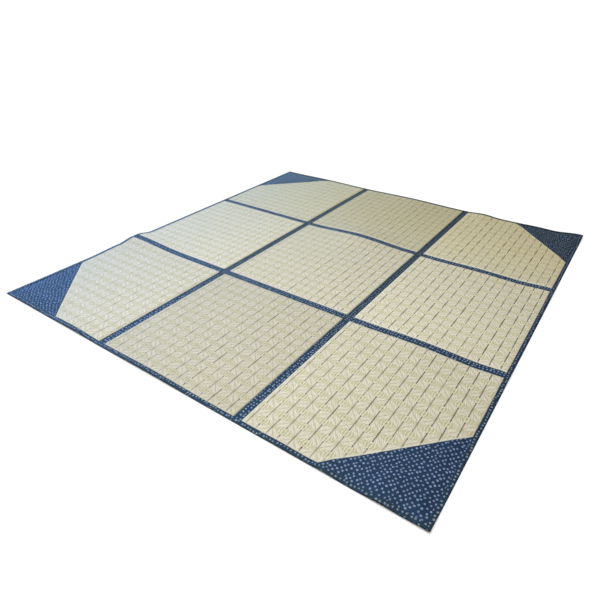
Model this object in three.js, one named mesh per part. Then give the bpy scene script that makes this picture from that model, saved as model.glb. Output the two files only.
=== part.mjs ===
// A folding floor mat of nine woven rush panels. Printed cotton bands cover the seams
// between the panels, a triangle of the same cloth is sewn over each corner, and a
// cotton binding is folded round each edge. The mat lies spread out on a floor, with
// the low ridges and ripples that it keeps from being folded up.
// Millimetres, +Z up. The origin is on the floor, under the middle of the mat. The
// front edge is the one along -Y.
import * as THREE from 'three';

// Sizes in plan
const side = 2610;
const half = side / 2;
const longSeam = 450; // from the middle to the two seams that run from front to back
const crossSeam = 435; // from the middle to the two seams that run across
const bandWide = 44;
const bindingWide = 22;
const patchLeg = 478; // the corner patch, along each edge of the mat

// Thicknesses
const clear = 0.3; // between one piece and the next
const cloth = 1; // the printed cotton, with its turned-in edge
const panelThick = 7; // a rush panel on its padding
const pressed = 1.4; // the same, where a band is sewn down over its edge
const partingThick = 0.8; // and right at the seam
const parting = 3; // from the middle of a seam to the panel's edge
const shoulder = 12; // across which a panel swells from its sewn edge to its full thickness
const crease = 0.7; // how much lower a band lies along its middle than at its sides
const mitre = 0.25; // from the corner's diagonal to the end of a binding
const bandEnd = 0.5; // from a long band to the end of a cross band

// Heights in the edge of the mat, from the floor up: the binding's lower layer, the
// panel, the band or patch that is caught in with it, and the binding's upper layer.
const panelEdgeLow = cloth + clear;
const panelEdgeUnder = panelEdgeLow + partingThick;
const sewnInLow = panelEdgeUnder + clear;
const sewnInHigh = sewnInLow + cloth;
const lipLow = sewnInHigh + clear;
const bindingHigh = lipLow + cloth;

// Where the mat stands up from the floor: the middle of each swelling, its height, and
// how far it reaches before it lies flat again.
const folds = [
  // the cross folds
  { x: -half, y: -crossSeam, rise: 17, reachX: 460, reachY: 110 },
  { x: -half, y: -570, rise: 7, reachX: 330, reachY: 230 },
  { x: 0, y: crossSeam, rise: 18, reachX: 400, reachY: 170 },
  { x: 870, y: -crossSeam, rise: 9, reachX: 350, reachY: 150 },
  { x: half, y: -crossSeam, rise: 8, reachX: 170, reachY: 130 },
  { x: half, y: crossSeam, rise: 9, reachX: 200, reachY: 130 },
  { x: 870, y: crossSeam, rise: 4, reachX: 300, reachY: 120 },
  // the front edge
  { x: -1120, y: -half, rise: 5, reachX: 220, reachY: 150 },
  { x: -680, y: -half, rise: 8, reachX: 230, reachY: 170 },
  { x: -80, y: -half, rise: 7, reachX: 370, reachY: 190 },
  { x: 690, y: -half, rise: 3, reachX: 150, reachY: 110 },
  { x: 880, y: -half, rise: 7, reachX: 90, reachY: 150 },
  { x: 1125, y: -half, rise: 8, reachX: 130, reachY: 170 },
  { x: half, y: -half, rise: 8, reachX: 120, reachY: 110 },
  // the back edge
  { x: -850, y: half, rise: 4, reachX: 330, reachY: 150 },
  { x: 0, y: half, rise: 6, reachX: 410, reachY: 200 },
  { x: 590, y: half, rise: 9, reachX: 140, reachY: 150 },
  { x: 1000, y: half, rise: 4, reachX: 190, reachY: 140 },
  { x: half, y: half, rise: 17, reachX: 190, reachY: 170 },
];

const rush = new THREE.MeshStandardMaterial({ color: 0xcbc5a9, roughness: 0.62, metalness: 0 });
const print = new THREE.MeshStandardMaterial({ color: 0x2c4c7c, roughness: 0.85, metalness: 0 });

const { clamp } = THREE.MathUtils;
const mat = new THREE.Group();
mat.name = 'folding_rush_mat';

// How far along the soft part of the mat a place lies. Bands and bindings are stiff
// across, so they count as nothing.
function softRun(v, seam) {
  const run = clamp(v, bindingWide - half, half - bindingWide);
  const passed = (middle) => clamp(run - middle + bandWide / 2, 0, bandWide);
  return run - passed(-seam) - passed(seam);
}

function bell(u) {
  return Math.abs(u) < 1 ? (1 + Math.cos(Math.PI * u)) / 2 : 0;
}

// The height of the mat's underside above the floor.
function level(x, y) {
  const runX = softRun(x, longSeam);
  const runY = softRun(y, crossSeam);
  return folds.reduce((sum, fold) => {
    const acrossX = (runX - softRun(fold.x, longSeam)) / fold.reachX;
    const acrossY = (runY - softRun(fold.y, crossSeam)) / fold.reachY;
    return sum + fold.rise * bell(acrossX) * bell(acrossY);
  }, 0);
}

const fromEdge = (v) => half - Math.abs(v);
const fromSeam = (v, seam) => Math.abs(Math.abs(v) - seam);
const inBinding = (x, y) => Math.min(fromEdge(x), fromEdge(y)) <= bindingWide;
const underPatch = (x, y) => fromEdge(x) + fromEdge(y) <= patchLeg + cloth + 2 * clear;
const underBand = (v, seam) => fromSeam(v, seam) <= bandWide / 2;

function steps(from, to, count) {
  return Array.from({ length: count + 1 }, (_, i) => from + ((to - from) * i) / count);
}

// The lines at which the panels change height, from an outer edge to the first seam and
// then between the seams. Up to the patch's leg they are the same both ways, and the
// steps from the corner match the steps from the leg's end, so the patch's long side
// runs from crossing to crossing.
function panelLines(seam) {
  const sewn = bindingWide + shoulder;
  const toSeam = half - seam;
  const toShoulder = toSeam - bandWide / 2 - shoulder;
  const outer = [
    cloth + clear,
    bindingWide,
    ...steps(sewn, patchLeg - sewn, 4),
    patchLeg - bindingWide,
    ...steps(patchLeg, toShoulder, 3),
    toSeam - bandWide / 2,
    toSeam - parting,
  ].map((d) => d - half);
  const inner = seam - bandWide / 2 - shoulder;
  const middle = [
    parting - seam,
    bandWide / 2 - seam,
    ...steps(-inner, inner, 6),
    seam - bandWide / 2,
    seam - parting,
  ];
  return { outer, middle, far: outer.map((v) => -v).reverse() };
}

const linesX = panelLines(longSeam);
const linesY = panelLines(crossSeam);
const allLines = ({ outer, middle, far }) => [...outer, ...middle, ...far];

function add(name, triangles, material) {
  const shape = new THREE.BufferGeometry();
  shape.setAttribute('position', new THREE.Float32BufferAttribute(triangles.flat(2), 3));
  shape.computeVertexNormals();
  const mesh = new THREE.Mesh(shape, material);
  mesh.name = name;
  mat.add(mesh);
}

// A layer of the mat over a grid of lines: its two faces follow their own heights, and
// a wall closes it all round. Each cell is split along the way that the nearest corner
// patch's long side runs.
function layer(xs, ys, low, high, within = () => true) {
  const place = (i, j) => ({ i, j, x: xs[i], y: ys[j], key: `${i},${j}` });
  const cells = [];
  for (let j = 0; j + 1 < ys.length; j += 1) {
    for (let i = 0; i + 1 < xs.length; i += 1) {
      const [a, b, c, d] = [place(i, j), place(i + 1, j), place(i + 1, j + 1), place(i, j + 1)];
      const rising = (a.x + c.x) * (a.y + c.y) < 0;
      cells.push(...(rising ? [[a, b, c], [a, c, d]] : [[a, b, d], [b, c, d]]));
    }
  }
  const middle = (three, axis) => (three[0][axis] + three[1][axis] + three[2][axis]) / 3;
  const kept = cells.filter((three) => within(middle(three, 'x'), middle(three, 'y')));
  const under = (p) => [p.x, p.y, level(p.x, p.y) + low(p.x, p.y)];
  const over = (p) => [p.x, p.y, level(p.x, p.y) + high(p.x, p.y)];
  const sides = kept.flatMap(([a, b, c]) => [[a, b], [b, c], [c, a]]);
  const known = new Set(sides.map(([p, q]) => p.key + ' ' + q.key));
  const rim = sides.filter(([p, q]) => !known.has(q.key + ' ' + p.key));
  return [
    ...kept.map(([a, b, c]) => [over(a), over(b), over(c)]),
    ...kept.map(([a, b, c]) => [under(c), under(b), under(a)]),
    ...rim.map(([p, q]) => [under(p), under(q), over(q)]),
    ...rim.map(([p, q]) => [under(p), over(q), over(p)]),
  ];
}

// The rush panels, each sewn in along all four sides: thin under the bands and in the
// binding, and full in between.
function panelLow(x, y) {
  return inBinding(x, y) ? panelEdgeLow : 0;
}

function seamHeight(away) {
  if (away > bandWide / 2) return panelThick;
  return away > parting ? pressed : partingThick;
}

function panelHigh(x, y) {
  const covered = underPatch(x, y) || underBand(x, longSeam) || underBand(y, crossSeam);
  if (inBinding(x, y)) return covered ? panelEdgeUnder : sewnInHigh;
  return Math.min(seamHeight(fromSeam(x, longSeam)), seamHeight(fromSeam(y, crossSeam)));
}

const columns = { left: linesX.outer, middle: linesX.middle, right: linesX.far };
const rows = { front: linesY.outer, centre: linesY.middle, back: linesY.far };
for (const [row, ys] of Object.entries(rows)) {
  for (const [column, xs] of Object.entries(columns)) {
    add(`panel_${row}_${column}`, layer(xs, ys, panelLow, panelHigh), rush);
  }
}

// The bands over the seams. The two long ones run from edge to edge. The cross bands
// are three lengths each, and end at the long ones.
function bandLow(x, y, away) {
  if (inBinding(x, y)) return sewnInLow;
  return pressed + clear - (away < 1 ? crease : 0);
}

const across = (middle) => [middle - bandWide / 2, middle, middle + bandWide / 2];
const clearOfParting = (seam) => (v) => fromSeam(v, seam) > parting + 1;

for (const [end, x] of [['left', -longSeam], ['right', longSeam]]) {
  const low = (px, py) => bandLow(px, py, fromSeam(px, longSeam));
  const high = (px, py) => low(px, py) + cloth;
  const ys = allLines(linesY).filter(clearOfParting(crossSeam));
  add(`band_long_${end}`, layer(across(x), ys, low, high), print);
}

for (const [row, y] of [['front', -crossSeam], ['back', crossSeam]]) {
  for (const [column, panelXs] of Object.entries(columns)) {
    const low = (px, py) => bandLow(px, py, fromSeam(py, crossSeam));
    const high = (px, py) => low(px, py) + cloth;
    const clearOfBand = (v) => fromSeam(v, longSeam) > bandWide / 2 + 1;
    const inner = panelXs.filter(clearOfBand);
    const ends = [-longSeam, longSeam]
      .flatMap((seam) => [seam - bandWide / 2 - bandEnd, seam + bandWide / 2 + bandEnd])
      .filter((v) => v > panelXs[0] && v < panelXs.at(-1));
    const xs = [...inner, ...ends].sort((a, b) => a - b);
    add(`band_cross_${row}_${column}`, layer(xs, across(y), low, high), print);
  }
}

// The corner patches, laid over the panels and caught in the bindings.
const inPatch = (x, y) => fromEdge(x) + fromEdge(y) < patchLeg;
for (const [row, ys] of [['front', linesY.outer], ['back', linesY.far]]) {
  for (const [column, xs] of [['left', linesX.outer], ['right', linesX.far]]) {
    const nearCorner = (v) => fromEdge(v) <= patchLeg + 1;
    const low = (x, y) => (inBinding(x, y) ? sewnInLow : panelThick + clear);
    const high = (x, y) => low(x, y) + cloth;
    const shape = layer(xs.filter(nearCorner), ys.filter(nearCorner), low, high, inPatch);
    add(`patch_${row}_${column}`, shape, print);
  }
}

// The bindings, one strip folded round each edge and mitred at the corners. The section
// is given as depth from the edge and height, and "turn" is in quarter turns from the
// front edge.
const section = [
  [0, 0],
  [bindingWide, 0],
  [bindingWide, cloth],
  [cloth, cloth],
  [cloth, lipLow],
  [bindingWide, lipLow],
  [bindingWide, bindingHigh],
  [0, bindingHigh],
];

function binding(lines, seam, turn) {
  const cos = Math.round(Math.cos((turn * Math.PI) / 2));
  const sin = Math.round(Math.sin((turn * Math.PI) / 2));
  const point = (along, depth, height) => {
    const x = along * cos - (depth - half) * sin;
    const y = along * sin + (depth - half) * cos;
    return [x, y, level(x, y) + height];
  };
  const end = (depth) => half - depth - mitre;
  const next = (depth) => half - Math.max(bindingWide, depth + 1);
  const between = allLines(lines)
    .filter((v) => fromEdge(v) > bindingWide + 1)
    .filter(clearOfParting(seam));
  const stations = [
    (depth) => -end(depth),
    (depth) => -next(depth),
    ...between.map((v) => () => v),
    next,
    end,
  ];
  const rings = stations.map((at) => section.map(([d, z]) => point(at(d), d, z)));
  const skin = rings.slice(1).flatMap((ring, k) => section.flatMap((_, i) => {
    const j = (i + 1) % section.length;
    const [p, q, r, s] = [rings[k][i], rings[k][j], ring[j], ring[i]];
    return [[p, q, r], [p, r, s]];
  }));
  const outline = section.map(([d, z]) => new THREE.Vector2(d, z));
  const cap = THREE.ShapeUtils.triangulateShape(outline, []);
  const first = cap.map(([a, b, c]) => [rings[0][c], rings[0][b], rings[0][a]]);
  const last = cap.map(([a, b, c]) => [rings.at(-1)[a], rings.at(-1)[b], rings.at(-1)[c]]);
  return [...skin, ...first, ...last];
}

add('binding_front', binding(linesX, longSeam, 0), print);
add('binding_right', binding(linesY, crossSeam, 1), print);
add('binding_back', binding(linesX, longSeam, 2), print);
add('binding_left', binding(linesY, crossSeam, 3), print);

export default mat;
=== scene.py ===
import math

import bmesh
import bpy
from mathutils import Matrix, Vector, noise


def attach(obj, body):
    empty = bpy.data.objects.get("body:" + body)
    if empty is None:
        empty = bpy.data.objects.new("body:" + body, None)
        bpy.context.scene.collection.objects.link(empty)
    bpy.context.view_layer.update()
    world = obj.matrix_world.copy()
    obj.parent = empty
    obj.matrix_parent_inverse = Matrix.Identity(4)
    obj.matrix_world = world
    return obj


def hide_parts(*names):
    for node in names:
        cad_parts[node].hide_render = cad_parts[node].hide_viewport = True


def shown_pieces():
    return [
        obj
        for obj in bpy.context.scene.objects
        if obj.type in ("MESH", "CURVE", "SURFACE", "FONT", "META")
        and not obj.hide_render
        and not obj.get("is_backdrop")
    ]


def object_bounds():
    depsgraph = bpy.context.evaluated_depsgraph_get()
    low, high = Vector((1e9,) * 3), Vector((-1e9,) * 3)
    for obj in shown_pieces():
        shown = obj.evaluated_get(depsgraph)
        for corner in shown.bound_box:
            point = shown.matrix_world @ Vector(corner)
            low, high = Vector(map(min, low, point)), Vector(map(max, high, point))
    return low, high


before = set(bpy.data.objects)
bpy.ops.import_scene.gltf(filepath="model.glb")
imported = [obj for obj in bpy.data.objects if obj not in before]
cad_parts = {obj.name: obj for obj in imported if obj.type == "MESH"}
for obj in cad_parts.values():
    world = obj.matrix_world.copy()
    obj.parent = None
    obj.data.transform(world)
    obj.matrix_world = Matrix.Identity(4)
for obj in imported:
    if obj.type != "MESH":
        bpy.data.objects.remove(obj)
cad_low, cad_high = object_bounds()


# ---------------------------------------------------------------- the rush panels
# Nine padded panels, each a figured mat woven of dried rush. They lie flat but for the humps and
# waves that folding leaves, most of them along the outer edge. Where a band, a patch or the
# binding is sewn over its margin a panel is pressed thin, and it plumps up again beside the seam.
MM = 0.001
HALF = 1.305  # half of the mat's side
LONG_SEAM = 0.450  # from the middle of the mat to each seam that runs from front to back
CROSS_SEAM = 0.435
BAND = 0.044
EDGE = 0.022  # the binding's width on the face
PATCH_LEG = 0.478
CLEAR = 0.3 * MM  # between pieces that lie on each other
CLOTH = 1.0 * MM
MARGIN = 1.3 * MM  # from the mat's outline to what the binding folds round
PARTING = 3.0 * MM  # from a seam to the panel's own edge
PANEL_THICK = 7.0 * MM
SEWN_THICK = 2.1 * MM
SEWN_EASE = 1.3 * MM  # how much fuller the sewn margin lies away from the bands and patches
SEAM_THICK = 0.8 * MM
SEAM_EASE = 0.6 * MM
SHOULDER = 12.0 * MM  # how wide a panel's rise beside a seam is
PATCH_SHOULDER = 60.0 * MM  # and beside a patch
NAP = 0.5 * MM  # how high the underside lies on average, and how far that varies
STATION = 0.013  # how far apart a piece's vertices lie at most

folds = [
    # x and y of its middle, rise, reach along x, reach along y
    (-HALF, -0.435, 0.017, 0.460, 0.110),
    (-HALF, -0.570, 0.007, 0.330, 0.230),
    (0.000, 0.435, 0.018, 0.400, 0.170),
    (0.870, -0.435, 0.009, 0.350, 0.150),
    (HALF, -0.435, 0.008, 0.170, 0.130),
    (HALF, 0.435, 0.009, 0.200, 0.130),
    (0.870, 0.435, 0.004, 0.300, 0.120),
    (-1.120, -HALF, 0.005, 0.220, 0.150),
    (-0.680, -HALF, 0.008, 0.230, 0.170),
    (-0.080, -HALF, 0.007, 0.370, 0.190),
    (0.690, -HALF, 0.003, 0.150, 0.110),
    (0.880, -HALF, 0.007, 0.090, 0.150),
    (1.125, -HALF, 0.008, 0.130, 0.170),
    (HALF, -HALF, 0.008, 0.120, 0.110),
    (-0.850, HALF, 0.004, 0.330, 0.150),
    (0.000, HALF, 0.006, 0.410, 0.200),
    (0.590, HALF, 0.009, 0.140, 0.150),
    (1.000, HALF, 0.004, 0.190, 0.140),
    (HALF, HALF, 0.017, 0.190, 0.170),
]


def within(value, low=0.0, high=1.0):
    return min(max(value, low), high)


def slack(place, seam):
    """A place measured only along what can bend: bands and the bound edge stay stiff across."""
    run = within(place, EDGE - HALF, HALF - EDGE)
    return run - within(run + seam + BAND / 2, 0, BAND) - within(run - seam + BAND / 2, 0, BAND)


def bell(share):
    return (1 + math.cos(math.pi * share)) / 2 if abs(share) < 1 else 0.0


bends = [(slack(x, LONG_SEAM), slack(y, CROSS_SEAM), rise, wide, deep)
         for x, y, rise, wide, deep in folds]


def level(x, y):
    """How far the mat's underside is lifted off the floor."""
    across, along = slack(x, LONG_SEAM), slack(y, CROSS_SEAM)
    lift = sum(rise * bell((across - at_x) / wide) * bell((along - at_y) / deep)
               for at_x, at_y, rise, wide, deep in bends)
    return lift + NAP * (1 + noise.noise(Vector((across * 5, along * 5, 0.3))))


def eased(share):
    """A quarter round: steep at first, then level."""
    return math.sqrt(1 - (1 - within(share)) ** 2)


def to_edge(x, y):
    return HALF - max(abs(x), abs(y))


def to_seam(x, y):
    return min(abs(abs(x) - LONG_SEAM), abs(abs(y) - CROSS_SEAM))


def past_patch(x, y):
    """How far a place lies outside the nearest corner patch, along the edge."""
    return 2 * HALF - abs(x) - abs(y) - PATCH_LEG - CLOTH - 2 * CLEAR


def panel_top(x, y):
    seam, edge = to_seam(x, y), to_edge(x, y)
    pressed = SEAM_THICK + SEAM_EASE * within((seam - PARTING) / (BAND / 2 - PARTING))
    inner = pressed + (PANEL_THICK - pressed) * eased((seam - BAND / 2) / SHOULDER)
    beside_patch = within(past_patch(x, y) / SHOULDER)
    sewn = SEWN_THICK + SEWN_EASE * min(within((seam - BAND / 2) / SHOULDER), beside_patch)
    plump = eased((edge - EDGE) / SHOULDER)
    held = bell(1 - within((edge - EDGE) / PATCH_SHOULDER))
    return sewn + (inner - sewn) * (held + (plump - held) * beside_patch)


def panel_bottom(x, y):
    """The binding's back is folded under the panel's margin, which lies a little higher for it."""
    return MARGIN * (1 - within((to_edge(x, y) - EDGE) / SHOULDER))


def places(low, high, near_low=0.0, near_high=0.0):
    """Stations from low to high: close together beside a sewn margin at an end, wide apart between.

    near_low and near_high say how far inside the mat's outline, or past a seam, that end lies.
    """
    # closest about 22 mm in, where the binding and the bands end
    near = [d * MM for d in (12, 21.6, 22, 22.3, 23, 24.5, 27, 30.5, 34, 41, 50)]
    start = [low] + [low - near_low + d for d in near] if near_low else [low]
    end = [high + near_high - d for d in reversed(near)] + [high] if near_high else [high]
    count = max(1, math.ceil((end[0] - start[-1]) / STATION))
    between = [start[-1] + (end[0] - start[-1]) * k / count for k in range(1, count)]
    return start + between + end


def laid_grid(xs, ys):
    """A flat mesh with its vertices on the stations xs by ys."""
    bm = bmesh.new()
    across, along = len(xs) - 1, len(ys) - 1
    bmesh.ops.create_grid(bm, x_segments=across, y_segments=along, size=1.0)
    for v in bm.verts:
        v.co.x = xs[round((v.co.x + 1) / 2 * across)]
        v.co.y = ys[round((v.co.y + 1) / 2 * along)]
    return bm


def backed(bm, top, bottom):
    """Gives a flat mesh a back, and sets both to their heights on the mat."""
    made = bmesh.ops.extrude_face_region(bm, geom=bm.faces[:], use_keep_orig=True)
    upper = {e for e in made["geom"] if isinstance(e, bmesh.types.BMVert)}
    for v in bm.verts:
        height = top if v in upper else bottom
        v.co.z = height(v.co.x, v.co.y) + level(v.co.x, v.co.y)
    bmesh.ops.recalc_face_normals(bm, faces=bm.faces)
    return bm


def charted(bm, name, chart):
    """Lays a pattern on a mesh: a UV map whose values come from each vertex."""
    layer = bm.loops.layers.uv.new(name)
    for face in bm.faces:
        for loop in face.loops:
            loop[layer].uv = chart(loop.vert.co)


def noted(bm, name, value):
    """Notes a value at each vertex for the finish to read.

    "verge" is how far it lies inside its hem. The other two say how pale it is drawn,
    partly for its own stuff and partly as painted light and shade, and how far the cloth's
    blue is painted warmer and darker, as painted shade.
    """
    layer = bm.verts.layers.float.new(name)
    for v in bm.verts:
        v[layer] = value(v.co)


def finished(bm, name, material, nodes, smooth=40):
    """Turns a mesh into a piece of the mat. Edges that turn by more than this angle stay sharp."""
    mesh = bpy.data.meshes.new(name)
    bm.to_mesh(mesh)
    bm.free()
    mesh.shade_smooth()
    mesh.set_sharp_from_angle(angle=math.radians(smooth))
    mesh.materials.append(material)
    piece = bpy.data.objects.new(name, mesh)
    bpy.context.scene.collection.objects.link(piece)
    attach(piece, "root")
    if nodes:
        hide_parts(*nodes)
    return piece


class Thread:
    """A socket in a material: arithmetic on it adds Math nodes, and node() adds any other."""

    def __init__(self, tree, socket=None):
        self.tree, self.socket = tree, socket

    def node(self, kind, settings=None, values=None, out=0):
        made = self.tree.nodes.new("ShaderNode" + kind)
        for key, value in (settings or {}).items():
            setattr(made, key, value)
        for key, value in (values or {}).items():
            if isinstance(value, Thread):
                self.tree.links.new(value.socket, made.inputs[key])
            else:
                made.inputs[key].default_value = value
        return Thread(self.tree, made.outputs[out])

    def maths(self, operation, *terms):
        return self.node("Math", {"operation": operation}, dict(enumerate(terms)))

    def __add__(self, other):
        return self.maths("ADD", self, other)

    def __radd__(self, other):
        return self.maths("ADD", other, self)

    def __sub__(self, other):
        return self.maths("SUBTRACT", self, other)

    def __rsub__(self, other):
        return self.maths("SUBTRACT", other, self)

    def __mul__(self, other):
        return self.maths("MULTIPLY", self, other)

    def __rmul__(self, other):
        return self.maths("MULTIPLY", other, self)

    def __truediv__(self, other):
        return self.maths("DIVIDE", self, other)

    def __rtruediv__(self, other):
        return self.maths("DIVIDE", other, self)

    def __abs__(self):
        return self.maths("ABSOLUTE", self)

    def whole(self):
        return self.maths("ROUND", self)

    def sine(self):
        return self.maths("SINE", self)

    def least(self, other):
        return self.maths("MINIMUM", self, other)

    def most(self, other):
        return self.maths("MAXIMUM", self, other)

    def rise(self, low, high):
        """0 below low, 1 above high and smooth between."""
        return self.node("MapRange", {"interpolation_type": "SMOOTHSTEP"},
                         {"Value": self, "From Min": low, "From Max": high})

    def fall(self, low, high):
        return 1 - self.rise(low, high)

    def bump(self, height, strength, distance, **values):
        values.update({"Height": height, "Strength": strength, "Distance": distance})
        return self.node("Bump", {}, values)

    def blend(self, under, over):
        """One colour under another, by this much."""
        return self.node("Mix", {"data_type": "RGBA"}, {0: self, 6: under, 7: over}, out=2)

    def shade(self, colour):
        """A colour multiplied by this value."""
        return self.node("VectorMath", {"operation": "SCALE"}, {0: colour, "Scale": self})

    def sibling(self, name):
        """Another output of the same node."""
        return Thread(self.tree, self.socket.node.outputs[name])

    def parts(self):
        split = self.node("SeparateXYZ", {}, {0: self}).socket.node
        return [Thread(self.tree, split.outputs[k]) for k in range(3)]

    def toned(self, colour, tint):
        """A colour multiplied by a tint, by this much."""
        return self.node("Mix", {"data_type": "RGBA", "blend_type": "MULTIPLY"},
                         {0: self, 6: colour, 7: tint}, out=2)

    def noted(self, name):
        """The value that noted() left at the vertices under this name."""
        return self.node("Attribute", {"attribute_name": name}, out="Fac")

    def together(self, x, y):
        return self.node("CombineXYZ", {}, {0: x, 1: y})

    def chance(self, x, y):
        """A value from 0 to 1 that differs from one whole x and y to the next."""
        return self.node("TexWhiteNoise", {"noise_dimensions": "2D"},
                         {"Vector": self.together(x, y)})

    def cloudy(self, place, scale, detail=2.0, rough=0.5, dimensions="2D"):
        return self.node("TexNoise", {"noise_dimensions": dimensions},
                         {"Vector": place, "Scale": scale, "Detail": detail, "Roughness": rough})


def screen(red, green, blue):
    """A colour as a screen shows it, from 0 to 255, as the amount of light that it stands for."""
    return (*(((c / 255 + 0.055) / 1.055) ** 2.4 for c in (red, green, blue)), 1.0)


def new_finish(name):
    finish = bpy.data.materials.new(name)
    finish.use_nodes = True
    return finish, finish.node_tree.nodes["Principled BSDF"], Thread(finish.node_tree)


def far_right(thread):
    """1 at the back right, nearing 0 at the front and left: where warm painted shade lies."""
    x, y, _ = thread.node("TexCoord", out="Object").parts()
    return x.rise(-1.6, 0.2) * y.rise(0.2, 0.9)


def lead(wire, shader, socket):
    wire.tree.links.new(wire.socket, shader.inputs[socket])


# The figure of the weave, in millimetres: upright dark strokes in columns, every other column half
# a repeat lower, with olive lozenges over the gaps and veined leaves from stroke to stroke.
COLUMN = 52.6  # from one column of strokes to the next
REPEAT = 130.0  # from one stroke to the next below it
STROKE = 45.5  # from a stroke's middle to its end
KNOT = 42.0  # and to the knot near the end
LOZENGE = (11.0, 23.0)  # from the middle of a gap to where its olive starts to pale and is gone
TAPER = 0.21  # how much narrower a lozenge is with each millimetre away from its column
RAYS = 3.8  # of a leaf, on either side of its vein
LEAF_BOW = 3.4  # how far a leaf's vein bends from a straight line
RIM = 20.5  # from the middle of a gap to the dark rim of its lozenge
FLOAT = 10.8  # to the pale floats
SPOT = 17.0  # and to the dark spots
STRAND = 1.45  # the pitch of the rows of rush
WARPS = 5.2  # the pitch of the warps
# its colours, and what the painted warm shade toward the back right multiplies them by
RUSH = {"cream": screen(234, 225, 217), "shadow": screen(202, 191, 172),
        "vein": screen(158, 148, 126), "olive": screen(208, 202, 168),
        "moss": screen(172, 166, 128), "eye": screen(116, 106, 83), "stroke": screen(82, 73, 56),
        "knot": screen(64, 56, 42), "selvedge": screen(222, 218, 209),
        "painted_warm_shade": (1.01, 0.97, 0.80, 1.0)}


def woven_rush(name):
    finish, shader, thread = new_finish(name)
    u, v, _ = thread.node("UVMap", {"uv_map": "weave"}).parts()
    across, down = u * COLUMN, v * REPEAT
    field = thread.together(across, down)
    wander = thread.cloudy(field, 0.010, 2.0) - 0.5
    sway = thread.cloudy(field, 0.06, 1.0) - 0.5
    column = u.whole()
    a = (u - column) * COLUMN + wander * 2.4 + sway * 1.4
    odd = thread.maths("FLOORED_MODULO", column, 2.0)
    turned = v + odd * 0.5
    row = turned.whole()
    chance = thread.chance(column, row)
    b = (turned - row) * REPEAT + (chance - 0.5) * 3.0
    side, reach = abs(a), abs(b)
    past_gap = b - thread.maths("SIGN", b) * (REPEAT / 2)
    gap = abs(past_gap)

    # rows of rush run across the panel, each strand and bundle a little lighter or darker
    strand = thread.cloudy(thread.together(across * 0.012, down * 0.72), 1.0, 1.5)
    bundle = thread.cloudy(thread.together(across * 0.045, down * 0.16), 1.0, 2.0, 0.8)
    mottle = thread.cloudy(field, 0.13, 2.0, 0.75)
    streak = thread.cloudy(thread.together(across * 0.004, down * 0.05), 1.0, 2.0)
    aged = thread.cloudy(field, 0.004, 3.0)

    # the parts of the figure, each 1 where it lies and 0 elsewhere
    slant = side * (REPEAT / 2 / COLUMN)
    beside_stroke = reach + (COLUMN - side) * TAPER
    olive = (gap + side * TAPER).fall(*LOZENGE).most(beside_stroke.fall(*LOZENGE))
    vein = abs(reach - slant - (side * (2 * math.pi / COLUMN)).sine() * LEAF_BOW).fall(1.2, 4.4)
    lean = (slant + 0.8) / (reach + 0.8)
    rays = lean.least(1 / lean) * (2 * math.pi * RAYS) + bundle * 2.4 + mottle * 6.0
    fan = (rays.sine() * 0.5 + 0.5).rise(0.15, 0.85)
    rim = abs(gap - (RIM - side * 0.30)).fall(1.2, 3.6) * side.fall(30.0, 46.0)
    stroke = side.fall(1.4, 4.4) * reach.fall(STROKE - 1.5, STROKE + 1.0)
    knot = side.fall(2.2, 3.8) * abs(reach - KNOT).fall(2.5, 5.0)
    eye = thread.maths("SQRT", side * side * 0.16 + gap * gap * 0.5).fall(0.7, 1.6)
    floats = abs(abs(past_gap + a * 0.28) - FLOAT).fall(1.1, 2.7) * side.fall(4.5, 8.0)
    spots = abs(a + past_gap * 0.62).fall(2.0, 5.0) * abs(gap - SPOT).fall(2.0, 4.0)

    # strokes differ in darkness from column to column, and toward the left are paler: painted
    # sheen from the window light washing them out
    batch_and_painted_light, verge = thread.noted("batch_and_painted_light"), thread.noted("verge")
    warp = thread.chance(column, (batch_and_painted_light * 200).whole())
    from_left = thread.node("TexCoord", out="Object").parts()[0]
    depth = (0.36 + chance * 0.24 + warp * 0.42) * (0.40 + from_left.rise(-1.2, 0.8) * 0.60)
    colour = fan.blend(RUSH["shadow"], RUSH["cream"])
    for part, share, over in ((vein, 0.55, RUSH["vein"]),
                              (olive, 0.56, fan.blend(RUSH["moss"], RUSH["olive"])),
                              (rim, 0.18, RUSH["vein"]),
                              (spots, 0.40, RUSH["vein"]),
                              (floats, 0.20, RUSH["cream"]),
                              (eye, 0.60, RUSH["eye"]),
                              (stroke, depth, RUSH["stroke"]),
                              (knot, depth, RUSH["knot"]),
                              (verge.fall(5 * MM, 10 * MM), 0.60, RUSH["selvedge"])):
        colour = (part * share).blend(colour, over)
    tone = 0.585 + strand * 0.14 + bundle * 0.34 + mottle * 0.36 + streak * 0.05 + aged * 0.06
    # painted shade: the rush is darker where it runs under a band, the binding or a patch
    seam_shade = 0.86 + verge.rise(-3 * MM, 1 * MM) * 0.14
    # painted shade, warmer and darker, toward the back right
    painted_warm_shade = far_right(thread).toned((tone * batch_and_painted_light * seam_shade).shade(colour), RUSH["painted_warm_shade"])
    lead(painted_warm_shade, shader, "Base Color")
    lead(0.54 + strand * 0.16 + stroke * 0.1, shader, "Roughness")

    # rounded strands over and under the warps
    over_warp = (across * (math.pi / WARPS)).sine()
    under = thread.maths("SIGN", over_warp) * (math.pi / 2)
    rows = (down * (2 * math.pi / STRAND) + under).sine()
    relief = (rows * 0.30 + abs(over_warp) * 0.3 + strand * 0.5 + bundle * 1.2
              - stroke * 0.7 - vein * 0.3 + fan * 0.35)
    lead(thread.bump(relief, 0.5, 0.6 * MM), shader, "Normal")
    shader.inputs["IOR"].default_value = 1.40
    return finish


rush = woven_rush("woven_rush")
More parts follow.
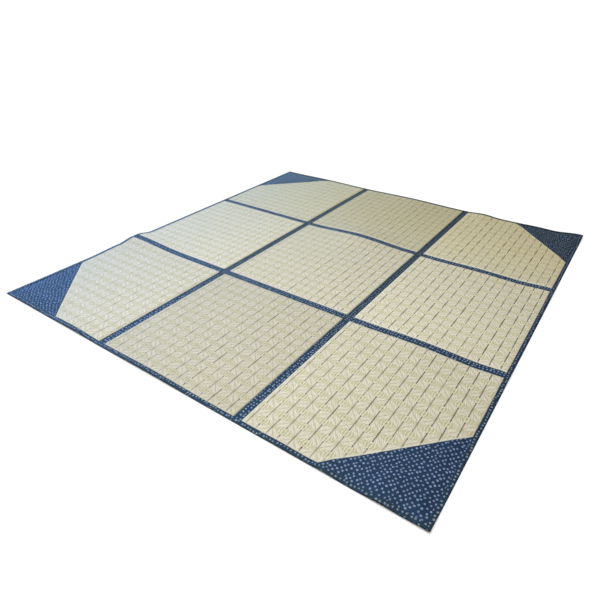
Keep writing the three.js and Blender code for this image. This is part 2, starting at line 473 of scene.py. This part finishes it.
# the panels' sides, and how far those lie inside the mat's outline or past a seam
columns_of_panels = [
    ("left", -HALF + MARGIN, -LONG_SEAM - PARTING, MARGIN, PARTING),
    ("middle", -LONG_SEAM + PARTING, LONG_SEAM - PARTING, PARTING, PARTING),
    ("right", LONG_SEAM + PARTING, HALF - MARGIN, PARTING, MARGIN),
]
rows_of_panels = [
    ("front", -HALF + MARGIN, -CROSS_SEAM - PARTING, MARGIN, PARTING),
    ("centre", -CROSS_SEAM + PARTING, CROSS_SEAM - PARTING, PARTING, PARTING),
    ("back", CROSS_SEAM + PARTING, HALF - MARGIN, PARTING, MARGIN),
]
# where a column and a stroke's middle fall on each panel, and how pale it is drawn: partly its
# own rush, and partly painted sheen and shade by how the light falls on it
figure_at = {
    ("front", "left"): (-0.903, -0.902, 0.920),
    ("front", "middle"): (0.017, -0.917, 0.790),
    ("front", "right"): (0.864, -0.912, 0.905),
    ("centre", "left"): (-0.895, 0.026, 1.010),
    ("centre", "middle"): (0.015, 0.029, 0.920),
    ("centre", "right"): (0.883, 0.027, 1.010),
    ("back", "left"): (-0.853, 0.808, 0.950),
    ("back", "middle"): (0.008, 0.822, 0.870),
    ("back", "right"): (0.879, 0.884, 1.030),
}
for row_name, y0, y1, near_y0, near_y1 in rows_of_panels:
    for column_name, x0, x1, near_x0, near_x1 in columns_of_panels:
        at_x, at_y, batch_and_painted_light = figure_at[row_name, column_name]
        xs, ys = places(x0, x1, near_x0, near_x1), places(y0, y1, near_y0, near_y1)
        bm = backed(laid_grid(xs, ys), panel_top, panel_bottom)
        charted(bm, "weave",
                lambda co: ((co.x - at_x) / (COLUMN * MM), (co.y - at_y) / (REPEAT * MM)))
        noted(bm, "verge", lambda co: min(to_seam(co.x, co.y) - BAND / 2,
                                          to_edge(co.x, co.y) - EDGE,
                                          past_patch(co.x, co.y) / math.sqrt(2)))
        noted(bm, "batch_and_painted_light", lambda co: batch_and_painted_light)
        node = f"panel_{row_name}_{column_name}"
        piece = finished(bm, f"rush_{node}", rush, [node])


# ---------------------------------------------------------------- the bands between the panels
# Strips of indigo cotton printed with pale dots, laid over the seams and stitched down along both
# sides. The two long ones run through from edge to edge, and six short ones lie across, on either
# side of them and between. Each has a shallow crease down its middle, where the mat folds.
DOT_CELL = 16.6  # from dot to dot, in millimetres
FLECK_CELL = 8.7  # from speck to speck
YARN = 0.62  # the pitch of the plain weave
# the cloth's colours, and what the painted warm shade multiplies them by
COTTON = {"deep": screen(14, 29, 64), "navy": screen(28, 48, 96), "dot": screen(148, 162, 203),
          "heart": screen(112, 129, 165), "speck": screen(84, 101, 142),
          "painted_cloth_shade": (1.0, 0.91, 0.70, 1.0)}


def printed_cotton(name):
    finish, shader, thread = new_finish(name)
    u, v, _ = thread.node("UVMap", {"uv_map": "cloth"}).parts()
    x, y = u * (1 / MM), v * (1 / MM)
    cloth = thread.together(x, y)

    # dots at random in their cells, each with a dimmer heart, and specks between them
    swirl = thread.cloudy(cloth, 0.011, 0.0) - 0.5
    drift = thread.cloudy(thread.together(y, x), 0.012, 0.0) - 0.5
    wobble = thread.cloudy(cloth, 0.25, 1.0) - 0.5
    print_place = thread.together(x + swirl * 12, y + drift * 12)
    cells = thread.node("TexVoronoi", {"voronoi_dimensions": "2D"},
                        {"Vector": print_place, "Scale": 1 / DOT_CELL, "Randomness": 0.42})
    chance = cells.sibling("Color").parts()
    from_dot = cells * DOT_CELL + wobble * 1.4 + (chance[0] - 0.5) * 0.9
    dot = from_dot.fall(3.3, 4.7)
    heart = from_dot.fall(0.4, 1.6)
    flecks = thread.node("TexVoronoi", {"voronoi_dimensions": "2D"},
                         {"Vector": cloth, "Scale": 1 / FLECK_CELL, "Randomness": 0.8})
    shown = flecks.sibling("Color").parts()[1].rise(0.35, 0.55) * from_dot.rise(4.5, 6.0)
    speck = (flecks * FLECK_CELL).fall(0.7, 1.5) * shown

    # yarns of uneven thickness, and cloth that has worn and faded in patches
    yarn = thread.cloudy(thread.together(x * 0.05, y * 1.4), 1.0, 1.0)
    yarn_down = thread.cloudy(thread.together(x * 1.4, y * 0.05), 1.0, 1.0)
    slub = (yarn + yarn_down) * 0.5
    worn = thread.cloudy(cloth, 0.012, 3.0)
    mottle = thread.cloudy(cloth, 0.11, 3.0, 0.8)
    colour = (slub * 0.6 + worn * 0.4).blend(COTTON["deep"], COTTON["navy"])
    colour = (dot * (0.60 + chance[1] * 0.25)).blend(colour, COTTON["dot"])
    colour = (heart * 0.3).blend(colour, COTTON["heart"])
    colour = (speck * 0.5).blend(colour, COTTON["speck"])
    batch_and_painted_light, verge, painted_cloth_shade = (thread.noted(name) for name in ("batch_and_painted_light", "verge", "painted_cloth_shade"))
    faded = thread.cloudy(cloth, 0.04, 1.0)
    # painted shade: darker along a hem, and a painted shadow over the binding's outer wall
    hem, wall = verge.fall(1 * MM, 5 * MM), verge.fall(-4 * MM, 0.0)
    tone = 0.30 + slub * 0.16 + mottle * 0.86 + faded * 0.36 - hem * 0.40 - wall * 0.45
    # painted shade, warmer and darker, toward the back right and as much as each piece notes
    shade_share = far_right(thread).most(painted_cloth_shade)
    lead(shade_share.toned((tone * batch_and_painted_light).shade(colour), COTTON["painted_cloth_shade"]), shader, "Base Color")
    lead(0.56 + slub * 0.16 + dot * 0.06, shader, "Roughness")

    # a plain weave, softly puckered
    plain = (x * (math.pi / YARN)).sine() * (y * (math.pi / YARN)).sine()
    weave = thread.bump(plain * 0.4 + slub * 0.8 + dot * 0.15, 0.45, 0.3 * MM)
    pucker = thread.cloudy(cloth, 0.09, 2.0)
    lead(thread.bump(pucker, 0.5, 1.2 * MM, Normal=weave), shader, "Normal")
    shader.inputs["IOR"].default_value = 1.45
    shader.inputs["Specular Tint"].default_value = (0.50, 0.92, 1.0, 1.0)
    shader.inputs["Sheen Weight"].default_value = 0.04
    shader.inputs["Sheen Roughness"].default_value = 0.40
    shader.inputs["Sheen Tint"].default_value = (0.30, 0.70, 1.0, 1.0)
    return finish


cotton = printed_cotton("printed_cotton")

# the band's section, in millimetres from the middle and shares of the cloth's thickness up: its
# back, half of its face from the side to the crease, and the other half as that one's reflection
band_back = [(a, 0.0) for a in (-21.4, -11.0, -3.0, 0.0, 3.0, 11.0, 21.4)]
half_face = [(21.9, 0.25), (22.0, 0.6), (21.7, 0.95), (21.0, 1.15), (20.2, 1.05), (19.6, 0.95),
             (19.0, 1.1), (17.0, 1.45), (13.0, 1.75), (9.0, 1.8), (5.5, 1.6), (3.0, 1.25),
             (1.3, 0.9), (0.5, 0.7)]
crease = (0.0, 0.62)
other_half = [(-a, share) for a, share in reversed(half_face)]
band_section = band_back + half_face + [crease] + other_half


def folded_strip(section, stations, put):
    """A closed strip. put() says where each point of its section comes to lie at a station."""
    rounds = len(section)
    bm = laid_grid(list(range(rounds + 1)), list(range(len(stations))))
    layer = bm.loops.layers.uv.new("cloth")
    lengths = [0.0]
    for k in range(rounds):
        (a, b), (c, d) = section[k], section[(k + 1) % rounds]
        lengths.append(lengths[-1] + math.hypot(c - a, d - b) * MM)
    for face in bm.faces:
        for loop in face.loops:
            loop[layer].uv = (lengths[round(loop.vert.co.x)], stations[round(loop.vert.co.y)])
    for v in bm.verts:
        v.co = put(section[round(v.co.x) % rounds], stations[round(v.co.y)])
    bmesh.ops.remove_doubles(bm, verts=bm.verts, dist=1e-6)
    bmesh.ops.holes_fill(bm, edges=[e for e in bm.edges if e.is_boundary], sides=0)
    bmesh.ops.recalc_face_normals(bm, faces=bm.faces)
    return bm


def thread_finish():
    finish, shader, thread = new_finish("sewing_thread")
    place = thread.node("TexCoord", out="Object")
    twist = thread.node("TexWave", {"wave_type": "BANDS", "bands_direction": "DIAGONAL"},
                        {"Vector": place, "Scale": 900.0, "Distortion": 1.5}, out="Fac")
    spun = thread.cloudy(place, 400.0, 2.0, dimensions="3D")
    colour = (spun * 0.7 + twist * 0.3).blend(screen(34, 50, 80), screen(74, 94, 128))
    lead(colour, shader, "Base Color")
    lead(0.5 + spun * 0.2, shader, "Roughness")
    lead(thread.bump(twist, 0.5, 0.1 * MM), shader, "Normal")
    return finish


STITCH = Vector((1.9, 0.42, 0.32)) * MM  # half of its length, width and thickness
STITCH_PITCH = 6 * MM
STITCH_LIFT = 0.05 * MM  # how far its middle lies above the cloth
ROW_SHORT = 2 * MM  # from the end of a row to the binding's lip, or to the next row
sewing_thread = thread_finish()


def sewn(name, rows, height):
    """Rows of short stitches, each a slim grain that lies along its row and dips at both ends."""
    bm = bmesh.new()
    for (x0, y0), (x1, y1) in rows:
        start, run = Vector((x0, y0, 0)), Vector((x1 - x0, y1 - y0, 0))
        heading = run.normalized()
        count = int(run.length / STITCH_PITCH)
        for k in range(count):
            place = start + run * ((k + 0.5) / count)
            before, after = place - heading * MM, place + heading * MM
            z0, z1 = height(before.x, before.y), height(after.x, after.y)
            place.z = (z0 + z1) / 2 + STITCH_LIFT
            climb = heading + Vector((0, 0, (z1 - z0) / (2 * MM)))
            laid = climb.to_track_quat("X", "Z").to_matrix().to_4x4()
            shape = Matrix.Translation(place) @ laid @ Matrix.Diagonal((*STITCH, 1.0))
            bmesh.ops.create_icosphere(bm, subdivisions=1, radius=1.0, matrix=shape)
    return finished(bm, name, sewing_thread, [], smooth=80)


BAND_LOW = 1.0 * MM  # how high the band's back lies over the seam
BAND_RISE = 0.7 * MM  # and how much higher at its sides
BAND_SEWN_LOW = 2.4 * MM  # how high it lies under the binding
ROW_IN = 19.6 * MM  # from a band's middle to its rows of stitches
ROW_SHARE = 0.95  # and the cloth's share of its thickness there


def band_height(x, y, from_middle, share):
    low = BAND_LOW + BAND_RISE * abs(from_middle) / (BAND / 2)
    inside = within((to_edge(x, y) - EDGE) / SHOULDER)
    fullness = share if share <= 1 else 1 + (share - 1) * inside
    return level(x, y) + (BAND_SEWN_LOW + (low - BAND_SEWN_LOW) * inside + fullness * CLOTH)


def band(name, middle, low, high, near_low, near_high, crossing, batch_and_painted_light):
    """A band along a seam from low to high, toward the right if crossing, or else to the back."""
    def put(point, run):
        from_middle, share = point[0] * MM, point[1]
        across = middle + from_middle
        x, y = (run, across) if crossing else (across, run)
        return Vector((x, y, band_height(x, y, from_middle, share)))

    bm = folded_strip(band_section, places(low, high, near_low, near_high), put)
    noted(bm, "verge", lambda co: BAND / 2 - abs((co.y if crossing else co.x) - middle))
    # painted light: toward the front the long bands are paler, and every band's blue is painted
    # less warm and dark there
    noted(bm, "batch_and_painted_light", lambda co: batch_and_painted_light if crossing else batch_and_painted_light + 0.2 * within(-co.y))
    noted(bm, "painted_cloth_shade", lambda co: 0.9 - 0.5 * within(-co.y))
    piece = finished(bm, f"cotton_{name}", cotton, [name])

    begin, end = max(low, EDGE + ROW_SHORT - HALF), min(high, HALF - EDGE - ROW_SHORT)
    rows = []
    for row in (middle - ROW_IN, middle + ROW_IN):
        rows.append(((begin, row), (end, row)) if crossing else ((row, begin), (row, end)))
    stitches = sewn(f"stitches_{name}", rows,
                    lambda x, y: band_height(x, y, ROW_IN, ROW_SHARE))
    high - low


# painted light: the long bands are drawn darker, and the cross bands paler, the back ones most
for side_name, middle in (("left", -LONG_SEAM), ("right", LONG_SEAM)):
    band(f"band_long_{side_name}", middle, -HALF + MARGIN, HALF - MARGIN, MARGIN, MARGIN,
         crossing=False, batch_and_painted_light=0.80)
beside = LONG_SEAM + BAND / 2 + 0.5 * MM
between = beside - BAND - 1.0 * MM
# the ends of the cross bands, and how far those lie inside the mat's outline
cross_bands = [
    ("left", -HALF + MARGIN, -beside, MARGIN, 0.0),
    ("middle", -between, between, 0.0, 0.0),
    ("right", beside, HALF - MARGIN, 0.0, MARGIN),
]
for row_name, middle, batch_and_painted_light in (("front", -CROSS_SEAM, 1.20), ("back", CROSS_SEAM, 1.45)):
    for column_name, low, high, near_low, near_high in cross_bands:
        band(f"band_cross_{row_name}_{column_name}", middle, low, high, near_low, near_high,
             crossing=True, batch_and_painted_light=batch_and_painted_light)


# ---------------------------------------------------------------- the corner patches
# A triangle of the same printed cotton on each corner of the mat, over the rush. Its long side is
# turned under and stitched down, and its two short sides go into the binding.
HEM_IN = 2.4 * MM * math.sqrt(2)  # from the long side to its row of stitches, along the mat's edge
# millimetres in from the long side, and shares of the cloth's thickness there
patch_hem = [(0.0, 0.35), (0.5, 0.85), (1.4, 1.1), (2.4, 0.95), (3.6, 1.2), (6.0, 1.3), (12.0, 1.0)]
# two of the patches are drawn paler or darker than the rest
patch_paleness = {("back", "left"): 1.25, ("front", "left"): 0.94}  # how pale, where not 1


def patch_low(x, y):
    return panel_top(x, y) + CLEAR


def from_hem(x, y):
    """How far a place on a patch lies inside its long side."""
    return (PATCH_LEG - (2 * HALF - abs(x) - abs(y))) / math.sqrt(2)


def patch_top(x, y):
    hem = from_hem(x, y) / MM
    share = 1.0
    for (d0, s0), (d1, s1) in zip(patch_hem, patch_hem[1:]):
        if d0 <= hem <= d1:
            share = s0 + (s1 - s0) * (hem - d0) / (d1 - d0)
    inside = within((to_edge(x, y) - EDGE) / SHOULDER)
    return patch_low(x, y) + CLOTH * (min(share, 1.0) + max(share - 1.0, 0.0) * inside)


for row_name, sign_y in (("front", -1), ("back", 1)):
    for column_name, sign_x in (("left", -1), ("right", 1)):
        run = places(HALF - PATCH_LEG, HALF - MARGIN, 0.0, MARGIN)
        bm = laid_grid(run, run)
        for distance, _ in reversed(patch_hem):
            inward = Vector((1, 1, 0)) * (distance * MM / math.sqrt(2))
            bmesh.ops.bisect_plane(bm, geom=bm.verts[:] + bm.edges[:] + bm.faces[:],
                                   plane_co=Vector((HALF, HALF - PATCH_LEG, 0)) + inward,
                                   plane_no=(-1, -1, 0), dist=1e-6, clear_outer=distance == 0)
        bmesh.ops.scale(bm, vec=(sign_x, sign_y, 1), verts=bm.verts)
        backed(bm, patch_top, patch_low)
        # the cloth is cut askew, so that its dots aren't in line with the bands'
        charted(bm, "cloth", lambda co: (co.x * 0.8 - co.y * 0.6, co.x * 0.6 + co.y * 0.8))
        noted(bm, "verge", lambda co: from_hem(co.x, co.y))
        noted(bm, "batch_and_painted_light", lambda co: patch_paleness.get((row_name, column_name), 1.0))
        noted(bm, "painted_cloth_shade", lambda co: 0.0)
        node = f"patch_{row_name}_{column_name}"
        piece = finished(bm, f"cotton_{node}", cotton, [node])
        far = HALF - EDGE - ROW_SHORT
        near = HALF - PATCH_LEG + HEM_IN + HALF - far
        row = ((sign_x * far, sign_y * near), (sign_x * near, sign_y * far))
        stitches = sewn(f"stitches_{node}", [row], lambda x, y: level(x, y) + patch_top(x, y))


# ---------------------------------------------------------------- the binding
# A strip of the printed cotton folded round each outer edge like a long letter C, its two lips
# stitched through the mat. The four strips are mitred where they meet at the corners.
MITRE = 0.25 * MM  # from a strip's end to the corner's diagonal
WALL = 1.6 * MM  # how far in and how far up the fold's outer wall reaches
WALL_HIGH = 4.5 * MM
WALL_VERGE = -5 * MM  # what the wall notes as its verge, for the finish to darken
LIP_VERGE = 2 * MM  # and the lip, whose stitched hem shows less than the bands' do
LIP_IN = 19.4 * MM  # from the mat's outline to the row of stitches
LIP_HIGH = 4.55 * MM  # and the binding's height there
# its section, in millimetres in from the mat's outline and up from its underside
binding_section = [
    (22.0, 0.0), (12.0, 0.0), (3.0, 0.0), (1.4, 0.15), (0.45, 0.7), (0.05, 1.6), (0.0, 2.4),
    (0.1, 3.2), (0.5, 4.1), (1.4, 4.7), (3.0, 4.95), (8.0, 5.05), (14.0, 5.0), (17.6, 4.85),
    (18.8, 4.6), (19.4, 4.55), (20.0, 4.65), (20.9, 4.85), (21.7, 4.65), (22.0, 4.25),
    (21.8, 3.8), (21.0, 3.7), (12.0, 3.7), (2.0, 3.7), (1.2, 3.4), (1.0, 2.4), (1.2, 1.3),
    (2.0, 1.0), (12.0, 1.0), (22.0, 1.0),
]


def from_lip(co):
    """How far a place lies outside the lip and the patches, or below zero on the shadowed wall."""
    if to_edge(co.x, co.y) < WALL and co.z - level(co.x, co.y) < WALL_HIGH:
        return WALL_VERGE
    return EDGE - to_edge(co.x, co.y) + LIP_VERGE + max(0.0, -past_patch(co.x, co.y))


for side_name, turn in (("front", 0), ("right", 90), ("back", 180), ("left", 270)):
    facing = Matrix.Rotation(math.radians(turn), 3, "Z")

    def put(point, run):
        depth = point[0] * MM
        reach = (HALF - depth - MITRE) * run
        place = facing @ Vector((reach, depth - HALF, 0))
        return Vector((place.x, place.y, level(place.x, place.y) + point[1] * MM))

    # shares of half the side, because the mitres make the inner layers shorter
    stations = [s / HALF for s in places(-HALF, HALF)]
    bm = folded_strip(binding_section, stations, put)
    cloth = bm.loops.layers.uv["cloth"]
    for face in bm.faces:
        for loop in face.loops:
            loop[cloth].uv.y = (facing.transposed() @ loop.vert.co).x
    noted(bm, "verge", from_lip)
    # painted shade: the back binding is drawn darkest, as in shadow
    noted(bm, "batch_and_painted_light", lambda co: 0.4 if side_name == "back" else 1.0)
    # painted warm shade over all of the binding
    noted(bm, "painted_cloth_shade", lambda co: 0.9)
    node = f"binding_{side_name}"
    piece = finished(bm, f"cotton_{node}", cotton, [node])
    far, row = HALF - LIP_IN - ROW_SHORT, LIP_IN - HALF
    ends = [(facing @ Vector((x, row, 0))).xy for x in (-far, far)]
    stitches = sewn(f"stitches_{node}", [ends], lambda x, y: level(x, y) + LIP_HIGH)


# ---------------------------------------------------------------- the room
# A plain near-white floor that sweeps up far off on all sides, under an even light of its own. The
# mat has a soft light above its front and cool ones like windows off to the left. The camera
# stands where the picture was taken from.
FLOOR_REACH = 60.0  # from the middle to where the floor starts to rise
FLOOR_DROP = 0.5 * MM
floor_mesh = bmesh.new()
bmesh.ops.create_circle(floor_mesh, cap_ends=True, segments=96, radius=FLOOR_REACH)
# how many times wider each ring is than the last, and how much higher
for wider, higher in ((1.25, 2.0), (1.2, 6.0), (1.2, 12.0), (1.6, 45.0)):
    rim = [e for e in floor_mesh.edges if e.is_boundary]
    risen = bmesh.ops.extrude_edge_only(floor_mesh, edges=rim)
    verts = [v for v in risen["geom"] if isinstance(v, bmesh.types.BMVert)]
    bmesh.ops.scale(floor_mesh, vec=(wider, wider, 1), verts=verts)
    bmesh.ops.translate(floor_mesh, vec=(0, 0, higher), verts=verts)
bmesh.ops.translate(floor_mesh, vec=(0, 0, -FLOOR_DROP), verts=floor_mesh.verts)
floor_data = bpy.data.meshes.new("floor")
floor_mesh.to_mesh(floor_data)
floor_data.shade_smooth()
floor_mesh.free()
floor = bpy.data.objects.new("floor", floor_data)
bpy.context.scene.collection.objects.link(floor)
floor_finish, floor_shader, _ = new_finish("pale_floor")
floor_shader.inputs["Base Color"].default_value = (0.94, 0.94, 0.94, 1.0)
floor_shader.inputs["Roughness"].default_value = 0.9
floor_shader.inputs["Specular IOR Level"].default_value = 0.0
floor_data.materials.append(floor_finish)
floor.visible_diffuse = False
floor.visible_glossy = False
floor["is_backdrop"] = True
floor_alone = bpy.data.collections.new("floor_alone")
floor_alone.objects.link(floor)
mat_alone = bpy.data.collections.new("mat_alone")
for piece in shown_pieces():
    mat_alone.objects.link(piece)

world = bpy.data.worlds.new("studio")
world.use_nodes = True
world.node_tree.nodes["Background"].inputs["Color"].default_value = (1.0, 0.88, 0.70, 1.0)
world.node_tree.nodes["Background"].inputs["Strength"].default_value = 0.11
bpy.context.scene.world = world


def light(kind, name, place, power, colour, shines_on, **settings):
    """A lamp that faces the middle of the mat and lights one collection alone."""
    lamp = bpy.data.lights.new(name, kind)
    lamp.energy = power
    lamp.color = colour
    for key, value in settings.items():
        setattr(lamp, key, value)
    holder = bpy.data.objects.new(name, lamp)
    holder.location = place
    holder.rotation_mode = "QUATERNION"
    holder.rotation_quaternion = (-Vector(place)).to_track_quat("-Z", "Y")
    bpy.context.scene.collection.objects.link(holder)
    holder.light_linking.receiver_collection = shines_on


light("SUN", "floor_light", (0.4, -0.6, 6.0), 3.3, (0.96, 0.97, 1.0), floor_alone,
      angle=math.radians(60))
light("SUN", "even_light", (-1.5, 1.0, 6.0), 0.93, (1.0, 0.90, 0.60), mat_alone,
      angle=math.radians(60))
light("AREA", "front_light", (0.1, -1.3, 2.4), 54.6, (0.96, 1.0, 0.86), mat_alone,
      shape="RECTANGLE", size=2.0, size_y=2.0)
light("AREA", "window", (-5.2, 0.5, 2.2), 262.0, (0.22, 0.48, 1.0), mat_alone,
      shape="RECTANGLE", size=4.5, size_y=3.0)
light("AREA", "back_window", (-4.0, 4.6, 1.6), 44.6, (0.64, 1.0, 0.71), mat_alone,
      shape="RECTANGLE", size=2.5, size_y=2.0)

# the lens, place and turn that fit the mat's corners and seams in the picture
camera = bpy.data.cameras.new("camera")
camera.sensor_width = 36.0
camera.lens = 28.6567
camera.shift_x = -0.06348
camera.clip_end = 1000.0
viewer = bpy.data.objects.new("camera", camera)
viewer.rotation_mode = "QUATERNION"
viewer.location = (1.53325, -2.20054, 1.46308)
azimuth, elevation, roll = (math.radians(angle) for angle in (33.0664, 33.0513, 0.2388))
from_mat = Vector((math.sin(azimuth) * math.cos(elevation),
                   -math.cos(azimuth) * math.cos(elevation), math.sin(elevation)))
aim = (-from_mat).to_track_quat("-Z", "Y")
viewer.rotation_quaternion = aim @ Matrix.Rotation(roll, 3, "Z").to_quaternion()
bpy.context.scene.collection.objects.link(viewer)
bpy.context.scene.camera = viewer
bpy.context.scene.view_settings.view_transform = "Standard"

low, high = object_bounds()
{"cad": [list(cad_low), list(cad_high)], "visual": [list(low), list(high)]}
